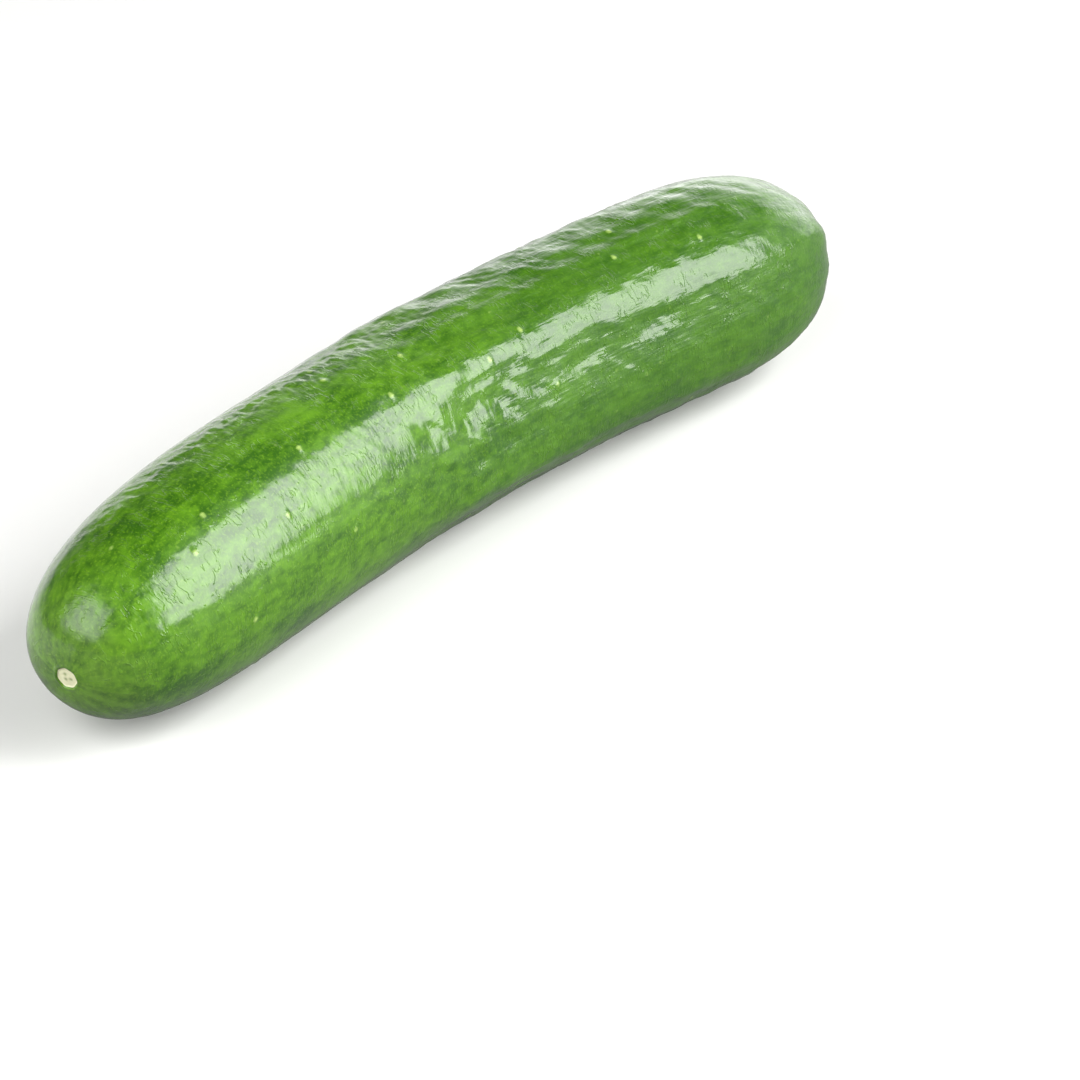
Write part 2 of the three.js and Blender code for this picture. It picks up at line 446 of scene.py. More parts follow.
    # The warts are paler than the skin round them
    wart = add(tree, "ShaderNodeAttribute", {"attribute_name": "wart"})
    wart_step = add(tree, "ShaderNodeMapRange",
                    {"From Min": 0.25, "From Max": 0.8, "To Max": 0.75},
                    {"Value": wart.outputs["Fac"]})
    warty = add(tree, "ShaderNodeMix",
                {"data_type": "RGBA", 7: opaque(settings.pale_green)},
                {0: wart_step.outputs["Result"], 6: rayed.outputs[2]})
    return warty.outputs[2]


def skin_height(tree, place, mottles):
    """The relief that is finer than the mesh: creases, furrows, pores and fibres."""
    # Creases 0.7 mm apart and 2 mm long, deep in some patches and faint in others
    crease_place = add(tree, "ShaderNodeVectorMath",
                       {"operation": "MULTIPLY", 1: (1.4, 0.5, 0.5)}, {0: place})
    creases = add(tree, "ShaderNodeTexNoise", {"Scale": 1.0, "Detail": 3.0},
                  {"Vector": crease_place.outputs["Vector"]})
    crease_patch = add(tree, "ShaderNodeTexNoise", {"Scale": 1 / 5, "Detail": 1.0},
                       {"Vector": place}).outputs["Fac"]
    crease_depth = add(tree, "ShaderNodeMapRange",
                       {"From Min": 0.4, "From Max": 0.65, "To Min": 0.35},
                       {"Value": crease_patch})
    crease_height = add(tree, "ShaderNodeMath", {"operation": "MULTIPLY"},
                        {0: creases.outputs["Fac"], 1: crease_depth.outputs["Result"]})

    # Hair-thin furrows where another noise passes its middle. They are short dashes, mostly
    # across the fruit, and lie only where mottles and patches are both high.
    furrow_place = add(tree, "ShaderNodeVectorMath",
                       {"operation": "MULTIPLY", 1: (0.7, 0.25, 0.25)}, {0: place})
    furrows = add(tree, "ShaderNodeTexNoise", {"Scale": 1.0, "Detail": 2.0},
                  {"Vector": furrow_place.outputs["Vector"]})
    from_middle = add(tree, "ShaderNodeMath", {"operation": "SUBTRACT", 1: 0.5},
                      {0: furrows.outputs["Fac"]})
    beside = add(tree, "ShaderNodeMath", {"operation": "ABSOLUTE"},
                 {0: from_middle.outputs["Value"]})
    furrow_wall = add(tree, "ShaderNodeMapRange",
                      {"interpolation_type": "SMOOTHSTEP", "From Max": 0.03, "To Min": -1.0,
                       "To Max": 0.0},
                      {"Value": beside.outputs["Value"]})
    furrow_spots = add(tree, "ShaderNodeMath", {"operation": "ADD"},
                       {0: mottles, 1: crease_patch})
    furrow_depth = add(tree, "ShaderNodeMapRange",
                       {"From Min": 1.0, "From Max": 1.15, "To Max": 0.6},
                       {"Value": furrow_spots.outputs["Value"]})
    furrowed = add(tree, "ShaderNodeMath", {"operation": "MULTIPLY_ADD"},
                   {0: furrow_wall.outputs["Result"], 1: furrow_depth.outputs["Result"],
                    2: crease_height.outputs["Value"]})

    # Pores: pits 0.6 mm across, one in about 25 square millimetres
    pores = add(tree, "ShaderNodeTexVoronoi", {"Scale": 1 / 2.4}, {"Vector": place})
    pore_depth = add(tree, "ShaderNodeMapRange",
                     {"interpolation_type": "SMOOTHSTEP", "From Max": 0.14, "To Min": -0.4,
                      "To Max": 0.0},
                     {"Value": pores.outputs["Distance"]})
    pored = add(tree, "ShaderNodeMath", {"operation": "ADD"},
                {0: furrowed.outputs["Value"], 1: pore_depth.outputs["Result"]})

    # Fibres under the skin of the stem half, 0.8 mm apart and about 5 mm long
    fibre_place = add(tree, "ShaderNodeVectorMath",
                      {"operation": "MULTIPLY", 1: (0.22, 1.2, 1.2)}, {0: place})
    fibres = add(tree, "ShaderNodeTexNoise", {"Scale": 1.0, "Detail": 2.0},
                 {"Vector": fibre_place.outputs["Vector"]})
    parts = add(tree, "ShaderNodeSeparateXYZ", None, {"Vector": place})
    fibre_height = add(tree, "ShaderNodeMapRange",
                       {"interpolation_type": "SMOOTHSTEP", "From Min": 70.0,
                        "From Max": 115.0},
                       {"Value": parts.outputs["X"]})
    height = add(tree, "ShaderNodeMath", {"operation": "MULTIPLY_ADD"},
                 {0: fibres.outputs["Fac"], 1: fibre_height.outputs["Result"],
                  2: pored.outputs["Value"]})
    return height.outputs["Value"]


def waxy_skin(settings):
    """Cucumber skin: a thin waxy layer over green cells. The wax gives crisp, pale
    reflections, and the cells show through it as a mottled, saturated green."""
    material, tree = new_material("Waxy cucumber skin")
    # Place on the unbent fruit, in millimetres: along, sideways, up
    place = add(tree, "ShaderNodeAttribute", {"attribute_name": "unbent"}).outputs["Vector"]
    # Mottles 2.8 mm long and 1.6 mm wide, and clouds 14 mm across
    mottle_place = add(tree, "ShaderNodeVectorMath",
                       {"operation": "MULTIPLY", 1: (0.36, 0.64, 0.64)}, {0: place})
    mottles = add(tree, "ShaderNodeTexNoise", {"Scale": 1.0, "Detail": 4.0},
                  {"Vector": mottle_place.outputs["Vector"]}).outputs["Fac"]
    clouds = add(tree, "ShaderNodeTexNoise", {"Scale": 1 / 14, "Detail": 3.0},
                 {"Vector": place}).outputs["Fac"]
    height = skin_height(tree, place, mottles)
    bump = add(tree, "ShaderNodeBump", {"Strength": 0.8, "Distance": 0.0002},
               {"Height": height})
    # The wax fills the creases in part, so the same relief is shallower on it
    wax_bump = add(tree, "ShaderNodeBump", {"Strength": 0.3, "Distance": 0.0002},
                   {"Height": height})
    rough = add(tree, "ShaderNodeMapRange",
                {"From Min": 0.3, "From Max": 0.7, "To Min": 0.34, "To Max": 0.5},
                {"Value": clouds})
    shader = add(tree, "ShaderNodeBsdfPrincipled",
                 {"IOR": 1.42, "Specular IOR Level": 0.3, "Coat Weight": 0.92,
                  "Coat Roughness": 0.13, "Coat IOR": 1.42},
                 {"Base Color": skin_colour(tree, settings, place, mottles, clouds),
                  "Roughness": rough.outputs["Result"], "Normal": bump.outputs["Normal"],
                  "Coat Normal": wax_bump.outputs["Normal"]})
    add(tree, "ShaderNodeOutputMaterial", None, {"Surface": shader.outputs["BSDF"]})
    return material


def corky_scar(settings):
    """Blossom scar: dry, healed cork, matt and cream, a little darker in its pits. Its
    grain is 0.5 mm across."""
    material, tree = new_material("Cork of the blossom scar")
    place = add(tree, "ShaderNodeAttribute", {"attribute_name": "unbent"})
    cork = add(tree, "ShaderNodeTexNoise", {"Scale": 2.2, "Detail": 3.0},
               {"Vector": place.outputs["Vector"]})
    pit = add(tree, "ShaderNodeAttribute", {"attribute_name": "pit"})
    pale = add(tree, "ShaderNodeMix",
               {"data_type": "RGBA", 6: opaque(settings.scar_cream),
                7: opaque(settings.scar_shade)},
               {0: cork.outputs["Fac"]})
    colour = add(tree, "ShaderNodeMix", {"data_type": "RGBA", 7: opaque(settings.pit_green)},
                 {0: pit.outputs["Fac"], 6: pale.outputs[2]})
    bump = add(tree, "ShaderNodeBump", {"Strength": 0.4, "Distance": 0.0001},
               {"Height": cork.outputs["Fac"]})
    shader = add(tree, "ShaderNodeBsdfPrincipled", {"IOR": 1.45, "Roughness": 0.6},
                 {"Base Color": colour.outputs[2], "Normal": bump.outputs["Normal"]})
    add(tree, "ShaderNodeOutputMaterial", None, {"Surface": shader.outputs["BSDF"]})
    return material


def dry_stalk(settings):
    """Stub of the stalk: cut, dried plant fibre, matt and yellowish green. Its grain is
    about 0.6 mm across."""
    material, tree = new_material("Dry stalk of the stub")
    place = add(tree, "ShaderNodeAttribute", {"attribute_name": "unbent"})
    fibre = add(tree, "ShaderNodeTexNoise", {"Scale": 1.8, "Detail": 4.0},
                {"Vector": place.outputs["Vector"]})
    colour = add(tree, "ShaderNodeMix",
                 {"data_type": "RGBA", 6: opaque(settings.stalk_green),
                  7: opaque(settings.stalk_straw)},
                 {0: fibre.outputs["Fac"]})
    bump = add(tree, "ShaderNodeBump", {"Strength": 0.5, "Distance": 0.0002},
               {"Height": fibre.outputs["Fac"]})
    shader = add(tree, "ShaderNodeBsdfPrincipled", {"IOR": 1.45, "Roughness": 0.65},
                 {"Base Color": colour.outputs[2], "Normal": bump.outputs["Normal"]})
    add(tree, "ShaderNodeOutputMaterial", None, {"Surface": shader.outputs["BSDF"]})
    return material


def paper_floor(settings):
    """Seamless paper: matt, with no grain to be seen. It is white to the camera. In what it
    throws back on the fruit it is
    greyer in front: painted shade, standing in for a floor that is partly in shade."""
    material, tree = new_material("Seamless paper")
    place = add(tree, "ShaderNodeTexCoord")
    parts = add(tree, "ShaderNodeSeparateXYZ", None, {"Vector": place.outputs["Object"]})
    # White behind, grey in front: painted shade on the floor, seen only in what the fruit
    # mirrors and is lit by
    behind = add(tree, "ShaderNodeMapRange",
                 {"interpolation_type": "SMOOTHSTEP", "From Min": -0.01, "From Max": 0.06},
                 {"Value": parts.outputs["Y"]})
    mirrored_painted_shade = add(tree, "ShaderNodeMix",
                   {"data_type": "RGBA", 6: opaque(settings.floor_shade),
                    7: opaque(settings.floor_white)},
                   {0: behind.outputs["Result"]})
    path = add(tree, "ShaderNodeLightPath")
    colour = add(tree, "ShaderNodeMix",
                 {"data_type": "RGBA", 7: opaque(settings.floor_white)},
                 {0: path.outputs["Is Camera Ray"], 6: mirrored_painted_shade.outputs[2]})
    shader = add(tree, "ShaderNodeBsdfPrincipled",
                 {"Roughness": 0.9, "Specular IOR Level": 0.2},
                 {"Base Color": colour.outputs[2]})
    add(tree, "ShaderNodeOutputMaterial", None, {"Surface": shader.outputs["BSDF"]})
    return material


# Shape

class Fruit:
    """The form of the cucumber, in millimetres along and round it."""

    def __init__(self, settings):
        self.length = settings.length / MM
        self.radius = settings.diameter / MM / 2
        self.bow = settings.bow / MM
        self.side = settings.side_height / MM
        self.flute = settings.flute_height / MM
        self.wrinkle = settings.wrinkle_height / MM
        self.crinkle = settings.crinkle_height / MM
        self.wart = settings.wart_height / MM
        self.outline = self.whole_outline()
        self.wart_places = self.place_warts()

    def body_radius(self, share):
        """The radius at a share of the length, before the ends are dished or domed."""
        swell = SWELL_AT_BLOSSOM + SWELL_TO_STEM * share * share
        near_blossom = max(0.0, 1 - share / BLOSSOM_CAP)
        near_stem = max(0.0, 1 - (1 - share) / STEM_CAP)
        blossom = (1 - near_blossom ** BLOSSOM_BLUNT) ** (1 / BLOSSOM_BLUNT)
        stem = (1 - near_stem ** STEM_BLUNT) ** (1 / STEM_BLUNT)
        return self.radius * swell * blossom * stem

    def end_shift(self, share, radius):
        """How far the blossom end is pushed out into its dome, and the stem end drawn in
        to its dimple."""
        if share < 0.5:
            return -BLOSSOM_DOME * (1 - smoothstep(radius, 0, DOME_RADIUS))
        return -DIMPLE_DEPTH * (1 - smoothstep(radius, STUB_RADIUS, DIMPLE_RADIUS))

    def body_outline(self, rings):
        """Points (radius, along) an equal arc apart, from the scar's lip to the stub."""
        fine = []
        for i in range(OUTLINE_STEPS + 1):
            share = (1 - math.cos(math.pi * i / OUTLINE_STEPS)) / 2
            radius = self.body_radius(share)
            fine.append((radius, self.length * share + self.end_shift(share, radius)))
        reached = [0.0]
        for a, b in zip(fine, fine[1:]):
            reached.append(reached[-1] + math.dist(a, b))
        wide = [i for i, p in enumerate(fine) if p[0] > SCAR_RADIUS + 2 * SCAR_LIP]
        foot = [i for i, p in enumerate(fine) if p[0] > STUB_RADIUS + STUB_FOOT]
        start, end = reached[wide[0]], reached[foot[-1]]
        points = []
        at = 0
        for i in range(rings + 1):
            wanted = start + (end - start) * i / rings
            while at < len(reached) - 2 and reached[at + 1] < wanted:
                at += 1
            part = (wanted - reached[at]) / (reached[at + 1] - reached[at])
            a, b = fine[at], fine[at + 1]
            points.append((a[0] + (b[0] - a[0]) * part, a[1] + (b[1] - a[1]) * part))
        return points

    def scar_outline(self, tip):
        """Points from the middle of the scar out to its lip."""
        points = []
        for i in range(SCAR_RINGS):
            radius = (SCAR_RADIUS + 2 * SCAR_LIP) * i / SCAR_RINGS
            lip = math.exp(-((radius - SCAR_RADIUS - SCAR_LIP) / LIP_WIDTH) ** 2)
            inside = 1 - smoothstep(radius - SCAR_RADIUS, *HOLLOW_WALL)
            bulge = 0.5 + 0.5 * math.cos(math.pi * min(1, radius / SCAR_RADIUS))
            hollow = inside * (HOLLOW_DEPTH - FACE_BULGE * bulge)
            points.append((radius, tip + hollow - LIP_HEIGHT * lip))
        return points

    def stub_outline(self, root):
        """Points from the stub's foot to the middle of its cut face, an equal arc apart."""
        stub = [(STUB_RADIUS + out, root + up) for out, up in STUB_OUTLINE]
        steps = [0.0]
        for a, b in zip(stub, stub[1:]):
            steps.append(steps[-1] + math.dist(a, b))
        points = []
        for i in range(1, STUB_RINGS + 1):
            wanted = steps[-1] * i / STUB_RINGS
            k = max(j for j in range(len(steps) - 1) if steps[j] <= wanted)
            part = (wanted - steps[k]) / (steps[k + 1] - steps[k])
            a, b = stub[k], stub[k + 1]
            points.append((a[0] + (b[0] - a[0]) * part, a[1] + (b[1] - a[1]) * part))
        return points

    def whole_outline(self):
        body = self.body_outline(RINGS - SCAR_RINGS - STUB_RINGS)
        return self.scar_outline(body[0][1]) + body + self.stub_outline(body[-1][1])

    def place_warts(self):
        """The warts that the photo shows, and others spread round the fruit by the golden
        turn, a little out of line and of uneven height."""
        places = [(along, math.radians(degrees), 1.0) for along, degrees in SEEN_WARTS]
        reach = self.length - WARTS_FROM - WARTS_SHORT
        for i in range(WART_COUNT):
            along = WARTS_FROM + reach * (i + 0.5) / WART_COUNT
            angle = i * GOLDEN_TURN + 0.35 * math.sin(i * 5.1)
            places.append((along, angle, 0.65 + 0.35 * math.sin(i * 2.7)))
        return places

    def ribs(self, along, angle):
        """The three-sided form of the whole fruit, and in the stem half the crests of its
        five sides, the flutes and the fine ribs, which wander a little as they go."""
        grown = smoothstep(along, SMOOTH_TO, SIDED_FROM)
        from_crest = angle - math.radians(CREST + CREST_TURN * (along - SIDED_FROM))
        turned = 0.5 + 0.5 * math.sin(along / 62)
        three_sided = THREE_SIDED_HEIGHT * math.cos(3 * angle + turned)
        five_sided = self.side * math.cos(SIDES * from_crest)
        waist = math.exp(-((along - WAIST) / WAIST_REACH) ** 2)
        flutes = self.flute * (1 + WAIST_GAIN * waist) * math.cos(FLUTES * from_crest)
        wander = 1.5 * math.sin(along / 19)
        fine = self.flute * FINE_RIB_SHARE * math.cos(FINE_RIBS * angle + wander)
        return three_sided + grown * (five_sided + flutes + fine)

    def wrinkles(self, along, angle):
        """Swells across the fruit: short ones in patches, and long, soft ones. They are
        faint in the blossom half and strongest at the middle of the fruit."""
        wander = 1.6 * math.sin(2 * angle + along / 33) + 1.1 * math.sin(5 * angle)
        patch = 0.55 + 0.45 * math.sin(along / 24 + 3 * angle + 1.2)
        short = math.sin(TAU * along / SHORT_SWELL + wander) * math.cos(8 * angle + along / 19)
        long = math.sin(TAU * along / LONG_SWELL + 2 * angle + 0.7)
        middle = math.exp(-((along - 0.48 * self.length) / 18) ** 2)
        grown = 0.15 + 0.85 * smoothstep(along, SMOOTH_TO - 12, SIDED_FROM) + middle
        return self.wrinkle * grown * (patch * short + LONG_SWELL_SHARE * long)

    def ridges_at(self, along):
        """The ridges that cross one ring: the angle of each, its height and half width."""
        crossing = []
        for start, end, degrees, drift, high, width in RIDGES:
            if start < along < end:
                share = (along - start) / (end - start)
                full_from, full_to = RIDGE_FULL
                fade = smoothstep(share, 0, full_from) * (1 - smoothstep(share, full_to, 1))
                wander = 1.2 * math.sin(along / 7.5 + degrees) + math.sin(along / 3.1 + degrees)
                middle = math.radians(degrees + drift * (share - 0.5) + wander)
                crossing.append((middle, high * fade, width))
        return crossing

    def ridges(self, crossing, angle):
        height = 0.0
        for middle, high, width in crossing:
            away = self.radius * turn_between(angle, middle) / width
            if abs(away) < RIDGE_REACH:
                height += high * math.exp(-away * away)
        return height

    def dents_at(self, along):
        """The dents that one ring crosses: angle, half width and depth."""
        return [(math.radians(degrees), wide, deep * math.exp(-((along - place) / half) ** 2))
                for place, half, degrees, wide, deep in DENTS]

    def dents(self, crossing, angle):
        height = 0.0
        for middle, wide, deep in crossing:
            if deep > FAINT_DENT:
                away = self.radius * turn_between(angle, middle) / wide
                height -= deep * math.exp(-away * away)
        return height

    def patches_at(self, along, table):
        """The patches that one ring crosses: angle, half width and strength."""
        return [(math.radians(degrees), math.radians(wide),
                 strength * math.exp(-((along - place) / half) ** 4))
                for place, half, degrees, wide, strength in table]

    def patched(self, patches, angle):
        strength = 0.0
        for middle, wide, strong in patches:
            if strong > FAINT_PATCH:
                strength += strong * math.exp(-(turn_between(angle, middle) / wide) ** 2)
        return strength

    def on_cylinder(self, along, angle):
        """A place on the unbent fruit, as if it were as thick all the way."""
        return along, math.sin(angle) * self.radius, math.cos(angle) * self.radius

    def crinkles(self, along, angle, creased, pebbled):
        """Creases across the skin, about 2 mm apart and 5 mm long, in patches. Pebbles 1 mm
        across lie faintly all over, and in their own patches they stand out, with broader
        lumps. In the stem half there are also folds that run lengthwise and folds that
        slant round the fruit."""
        place = self.on_cylinder(along, angle)
        in_patch = max(0.0, grain(CREASE_PATCHES, place))
        strength = (CREASES_LEAST + CREASES_IN_PATCHES * in_patch
                    + self.patched(creased, angle))
        wander = 1.5 * grain(WANDER, place, (0, 5, 0))
        across = grain(CREASES, place, (wander, 0, 0))
        coarse = grain(COARSE_CREASES, place, (wander, 0, 9))
        creases = strength * (1 - 2 * abs(across) + COARSE_SHARE * coarse)
        pebbles = grain(PEBBLES, place, (0, 20, 0))
        lumps = grain(LUMPS, place, (0, 40, 0))
        pebbling = (PEBBLES_LEAST * pebbles
                    + self.patched(pebbled, angle) * (pebbles + LUMP_SHARE * lumps))
        folds = grain(FOLDS, place, (0, 0, wander))
        slanted = grain(SLANTED_FOLDS, self.on_cylinder(along, angle + SLANT * along),
                        (0, 0, wander))
        grown = 0.2 + 0.8 * smoothstep(along, SMOOTH_TO - 20, SIDED_FROM)
        folding = grown * (FOLD_SHARE * folds + SLANTED_SHARE * slanted)
        return self.crinkle * (creases + pebbling + folding)

    def end_creases(self, along, angle, radius):
        """Creases that gather towards the scar and, deeper, towards the stub."""
        depth, inner, outer = STEM_CREASES if along > self.length / 2 else BLOSSOM_CREASES
        full = inner + END_CREASE_RISE
        fade = smoothstep(radius, inner, full) * (1 - smoothstep(radius, full, outer))
        return -depth * fade * (0.5 + 0.5 * math.cos(END_CREASES * angle + along / 40))

    def warts_at(self, along):
        """The warts near one ring: how far off along the fruit, angle and height."""
        return [(along - place, angle, share) for place, angle, share in self.wart_places
                if abs(along - place) < WART_REACH * WART_WIDTH]

    def warts(self, near, angle):
        height = 0.0
        for lengthwise, wart_angle, share in near:
            across = self.radius * turn_between(angle, wart_angle)
            away = math.hypot(lengthwise, across) / WART_WIDTH
            if away < WART_REACH:
                moat = math.exp(-((away - MOAT_RADIUS) / MOAT_WIDTH) ** 2)
                height += share * (math.exp(-away * away) - MOAT_SHARE * moat)
        return height

    def end_relief(self, ring, angle, radius):
        """The lobes of the scar's face, and the ridges of the stalk's stub."""
        if ring < SCAR_RINGS:
            return LOBE_HEIGHT * smoothstep(radius, 1, SCAR_RADIUS) * math.sin(LOBES * angle + 1)
        ridge = STUB_RIDGE_HEIGHT * smoothstep(radius, STUB_RADIUS * 0.4, STUB_RADIUS)
        return ridge * math.cos(STUB_RIDGES * angle + 0.4)

    def skin_relief(self, along, angle, radius, across_here):
        """All that stands out from the plain outline, apart from the warts."""
        ridges, dents, creased, pebbled = across_here
        fullness = smoothstep(radius, SCAR_RADIUS, self.radius)
        skin = smoothstep(radius, SCAR_RADIUS + 2 * SCAR_LIP, FINE_FROM)
        broad = fullness * (self.ribs(along, angle) + self.wrinkles(along, angle)
                            + self.dents(dents, angle))
        fine = skin * (self.ridges(ridges, angle)
                       + self.crinkles(along, angle, creased, pebbled))
        return broad + fine + self.end_creases(along, angle, radius)

    def middle_line(self, along):
        """A point of the bowed middle line, and the directions sideways and up there. The
        line drops a little towards the blossom tip."""
        share = 2 * along / self.length - 1
        heading = math.atan(-4 * self.bow * share / self.length)
        to_tip = max(0.0, 1 - along / NOD_REACH)
        pitch = math.atan(2 * NOD * to_tip / NOD_REACH)
        place = Vector((along, self.bow * (1 - share * share), -NOD * to_tip * to_tip))
        sideways = Vector((-math.sin(heading), math.cos(heading), 0))
        upwards = Vector((-math.sin(pitch) * math.cos(heading),
                          -math.sin(pitch) * math.sin(heading), math.cos(pitch)))
        return place, sideways, upwards


def scar_pits(angle, radius):
    """How deep in one of the scar's pits a point of it lies, 0 to 1."""
    pit = 0.0
    for turn, out, size in SCAR_PITS:
        x = radius * math.cos(angle) - out * math.cos(turn)
        y = radius * math.sin(angle) - out * math.sin(turn)
        pit += math.exp(-(x * x + y * y) / size ** 2)
    return min(1.0, pit)


def carve(shape, fruit, rings):
    """Lays the ball's rings on the fruit's outline, and carves the relief in them. The
    layers keep for the materials each place on the unbent fruit, the warts and the pits."""
    unbent = shape.verts.layers.float_vector["unbent"]
    wart_layer = shape.verts.layers.float["wart"]
    pit_layer = shape.verts.layers.float["pit"]
    lowest = SEAT_DEPTH - fruit.radius
    for ring, verts in enumerate(rings):
        radius, along = fruit.outline[ring]
        at_end = ring < SCAR_RINGS or ring > RINGS - STUB_RINGS
        across_here = (fruit.ridges_at(along), fruit.dents_at(along),
                       fruit.patches_at(along, CREASED), fruit.patches_at(along, PEBBLED))
        near = fruit.warts_at(along)
        for vert in verts:
            angle = math.atan2(vert.co.y, vert.co.x) if radius > 0 else 0.0
            wart = fruit.warts(near, angle)
            pit = scar_pits(angle, radius) if ring < SCAR_RINGS else 0.0
            if radius == 0:
                grown = 0.0
            elif at_end:
                grown = radius + fruit.end_relief(ring, angle, radius)
            else:
                relief = fruit.skin_relief(along, angle, radius, across_here)
                grown = radius + relief + fruit.wart * wart
            side, up = grown * math.sin(angle), grown * math.cos(angle)
            place, sideways, upwards = fruit.middle_line(along + PIT_DEPTH * pit)
            vert[unbent] = Vector((along, side, up))
            vert[wart_layer] = wart
            vert[pit_layer] = pit
            vert.co = place + sideways * side + upwards * up
            vert.co.z = max(vert.co.z, lowest)


def build_fruit(settings):
    """The cucumber's mesh: a ball whose rings are laid on the outline and carved."""
    shape = bmesh.new()
    bmesh.ops.create_uvsphere(shape, u_segments=AROUND, v_segments=RINGS, radius=1)
    shape.verts.layers.float_vector.new("unbent")
    shape.verts.layers.float.new("wart")
    shape.verts.layers.float.new("pit")
    rings = [[] for _ in range(RINGS + 1)]
    ring_of = {}
    for vert in shape.verts:
        ring = round(math.acos(max(-1.0, min(1.0, vert.co.z))) / math.pi * RINGS)
        rings[ring].append(vert)
        ring_of[vert] = ring
    carve(shape, Fruit(settings), rings)
    last_of_scar = SCAR_RINGS * SCAR_RADIUS / (SCAR_RADIUS + 2 * SCAR_LIP)
    for face in shape.faces:
        face.smooth = True
        ring = max(ring_of[vert] for vert in face.verts)
        if ring <= last_of_scar:
            face.material_index = SCAR
        elif ring > RINGS - STUB_RINGS + FOOT_RINGS:
            face.material_index = STALK
        else:
            face.material_index = SKIN
    bmesh.ops.recalc_face_normals(shape, faces=shape.faces)
    centre_on_frame(shape)
    mesh = bpy.data.meshes.new("cucumber_skin")
    shape.to_mesh(mesh)
    shape.free()
    piece = bpy.data.objects.new("cucumber_skin", mesh)
    bpy.context.scene.collection.objects.link(piece)
    for material in (waxy_skin(settings), corky_scar(settings), dry_stalk(settings)):
        mesh.materials.append(material)
    return piece


def centre_on_frame(shape):
    """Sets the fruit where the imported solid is, on the floor, and turns it to metres."""
    low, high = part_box("cucumber")
    middle = (Vector(low) + Vector(high)) / 2
    xs = [vert.co.x for vert in shape.verts]
    ys = [vert.co.y for vert in shape.verts]
    zs = [vert.co.z for vert in shape.verts]
    shift = Vector((-(min(xs) + max(xs)) / 2, -(min(ys) + max(ys)) / 2, -min(zs)))
    bmesh.ops.translate(shape, vec=shift, verts=shape.verts)
    bmesh.ops.scale(shape, vec=(MM, MM, MM), verts=shape.verts)
    bmesh.ops.translate(shape, vec=Vector((middle.x, middle.y, low[2])), verts=shape.verts)


# Stage

def direction(azimuth, elevation):
    """A unit vector: azimuth 0 is towards the front, -Y, and 90 towards +X."""
    a, e = math.radians(azimuth), math.radians(elevation)
    return Vector((math.sin(a) * math.cos(e), -math.cos(a) * math.cos(e), math.sin(e)))


def facing(place, target):
    """A matrix at a place, with its -Z axis towards the target and +Y upwards."""
    turn = (target - place).to_track_quat("-Z", "Y").to_matrix().to_4x4()
    return Matrix.Translation(place) @ turn


def softbox(name, azimuth, elevation, distance, size, radiance, roll, soft):
    """A softbox that faces the fruit. Its left, right, lower and upper edges fade over the
    given shares of its width and height."""
    light = bpy.data.lights.new(name, "AREA")
    light.shape = "RECTANGLE"
    light.size, light.size_y = size
    light.energy = radiance * math.pi * size[0] * size[1]
    light.use_nodes = True
    tree = light.node_tree
    tree.nodes.clear()
    spot = add(tree, "ShaderNodeNewGeometry")
    parts = add(tree, "ShaderNodeSeparateXYZ", None, {"Vector": spot.outputs["Parametric"]})
    left, right, lower, upper = soft
    # The four edges' shares are multiplied, one after another
    strength = None
    for axis, edge, full in (("X", 0, left), ("X", 1, 1 - right),
                             ("Y", 0, lower), ("Y", 1, 1 - upper)):
        share = add(tree, "ShaderNodeMapRange",
                    {"interpolation_type": "SMOOTHSTEP", "From Min": edge, "From Max": full},
                    {"Value": parts.outputs[axis]}).outputs["Result"]
        if strength:
            share = add(tree, "ShaderNodeMath", {"operation": "MULTIPLY"},
                        {0: strength, 1: share}).outputs["Value"]
        strength = share
    glow = add(tree, "ShaderNodeEmission", None, {"Strength": strength})
    add(tree, "ShaderNodeOutputLight", None, {"Surface": glow.outputs["Emission"]})

    holder = bpy.data.objects.new(name, light)
    rolled = Matrix.Rotation(math.radians(roll), 4, "Z")
    place = LIT_POINT + direction(azimuth, elevation) * distance
    holder.matrix_world = facing(place, LIT_POINT) @ rolled
    holder.visible_camera = False
    bpy.context.scene.collection.objects.link(holder)


def build_world():
    """A pale background for the camera, and dim light from all round for the fruit."""
    world = bpy.data.worlds.new("Studio")
    bpy.context.scene.world = world
    world.use_nodes = True
    tree = world.node_tree
    tree.nodes.clear()
    path = add(tree, "ShaderNodeLightPath")
    dim = add(tree, "ShaderNodeBackground", {"Color": (1, 1, 1, 1), "Strength": WORLD_LIGHT})
    pale = add(tree, "ShaderNodeBackground", {"Color": (1, 1, 1, 1), "Strength": BACKDROP})
    mix = add(tree, "ShaderNodeMixShader", None,
              {0: path.outputs["Is Camera Ray"], 1: dim.outputs["Background"],
               2: pale.outputs["Background"]})
    add(tree, "ShaderNodeOutputWorld", None, {"Surface": mix.outputs["Shader"]})


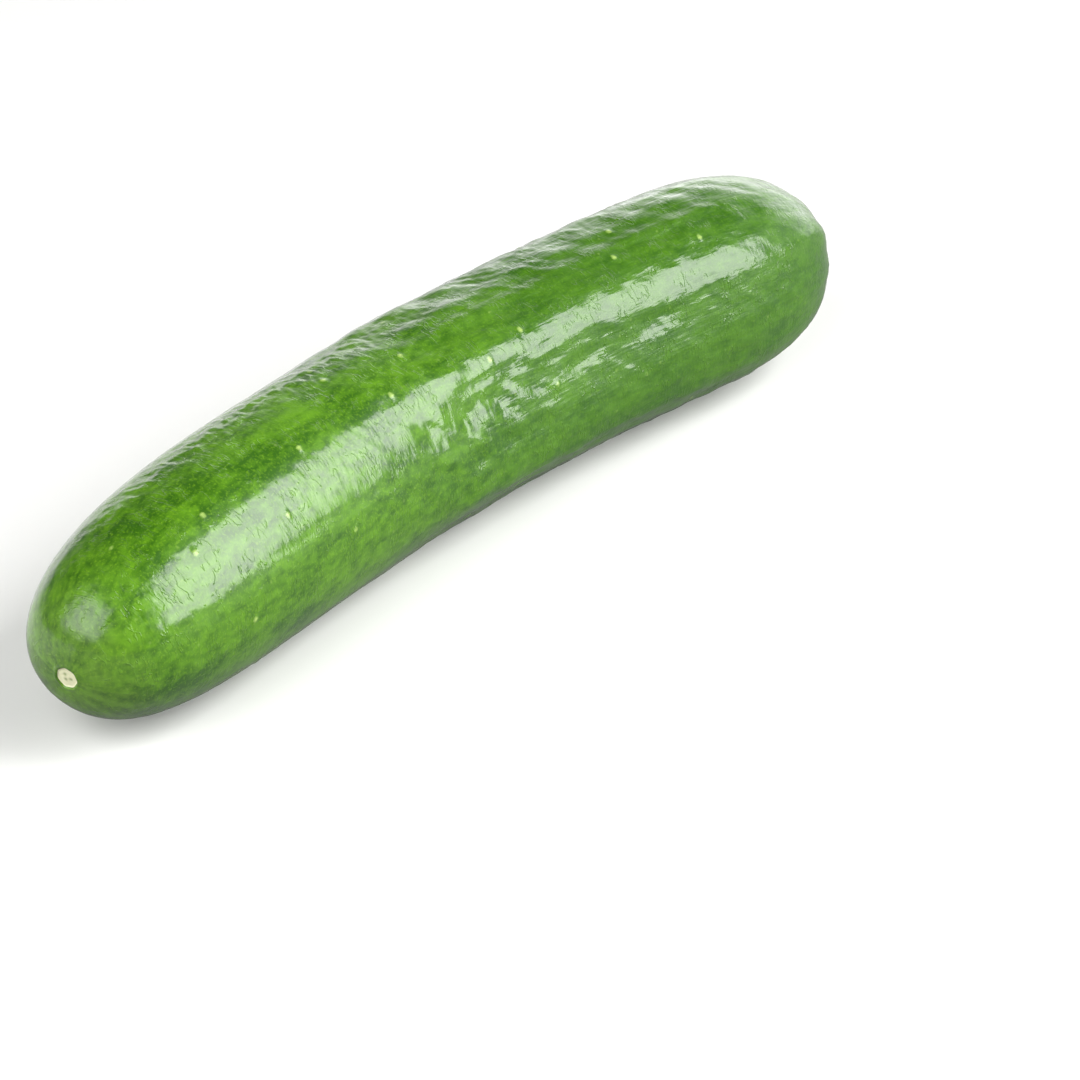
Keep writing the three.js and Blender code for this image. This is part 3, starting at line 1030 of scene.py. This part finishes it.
def build_camera():
    camera = bpy.data.cameras.new("camera")
    camera.lens = LENS
    camera.sensor_width = SENSOR
    camera.clip_end = CLIP_END
    eye = bpy.data.objects.new("camera", camera)
    eye.matrix_world = facing(CAMERA_PLACE, CAMERA_PLACE + CAMERA_LOOK)
    bpy.context.scene.collection.objects.link(eye)
    bpy.context.scene.camera = eye
    bpy.context.scene.view_settings.view_transform = "Standard"


def build_stage(settings):
    """The floor, the four softboxes, the world and the camera."""
    shape = bmesh.new()
    bmesh.ops.create_grid(shape, x_segments=1, y_segments=1, size=FLOOR_REACH)
    mesh = bpy.data.meshes.new("floor")
    shape.to_mesh(mesh)
    shape.free()
    mesh.materials.append(paper_floor(settings))
    floor = bpy.data.objects.new("floor", mesh)
    bpy.context.scene.collection.objects.link(floor)
    for values in SOFTBOXES:
        softbox(*values)
    build_world()
    build_camera()


# Operators and panel

class CUCUMBER_OT_fruit(bpy.types.Operator):
    """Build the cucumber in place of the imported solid"""

    bl_idname = "cucumber.fruit"
    bl_label = "Cucumber"

    def execute(self, context):
        piece = build_fruit(context.scene.cucumber)
        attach(piece, "root")
        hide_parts("cucumber")
        return {"FINISHED"}


class CUCUMBER_OT_stage(bpy.types.Operator):
    """Set up the floor, the lights and the camera"""

    bl_idname = "cucumber.stage"
    bl_label = "Stage"

    def execute(self, context):
        build_stage(context.scene.cucumber)
        return {"FINISHED"}


class CUCUMBER_PT_panel(bpy.types.Panel):
    """The cucumber's sizes, colours and buttons"""

    bl_label = "Cucumber"
    bl_idname = "CUCUMBER_PT_panel"
    bl_space_type = "VIEW_3D"
    bl_region_type = "UI"
    bl_category = "Cucumber"

    def draw(self, context):
        settings = context.scene.cucumber
        for name in CucumberSettings.__annotations__:
            self.layout.prop(settings, name)
        self.layout.operator("cucumber.fruit")
        self.layout.operator("cucumber.stage")


CLASSES = (CucumberSettings, CUCUMBER_OT_fruit, CUCUMBER_OT_stage, CUCUMBER_PT_panel)


def register():
    for each in CLASSES:
        bpy.utils.register_class(each)
    bpy.types.Scene.cucumber = bpy.props.PointerProperty(type=CucumberSettings)


def unregister():
    del bpy.types.Scene.cucumber
    for each in reversed(CLASSES):
        bpy.utils.unregister_class(each)


def main():
    register()
    bpy.ops.cucumber.fruit()
    bpy.ops.cucumber.stage()


if __name__ == "__main__":
    main()
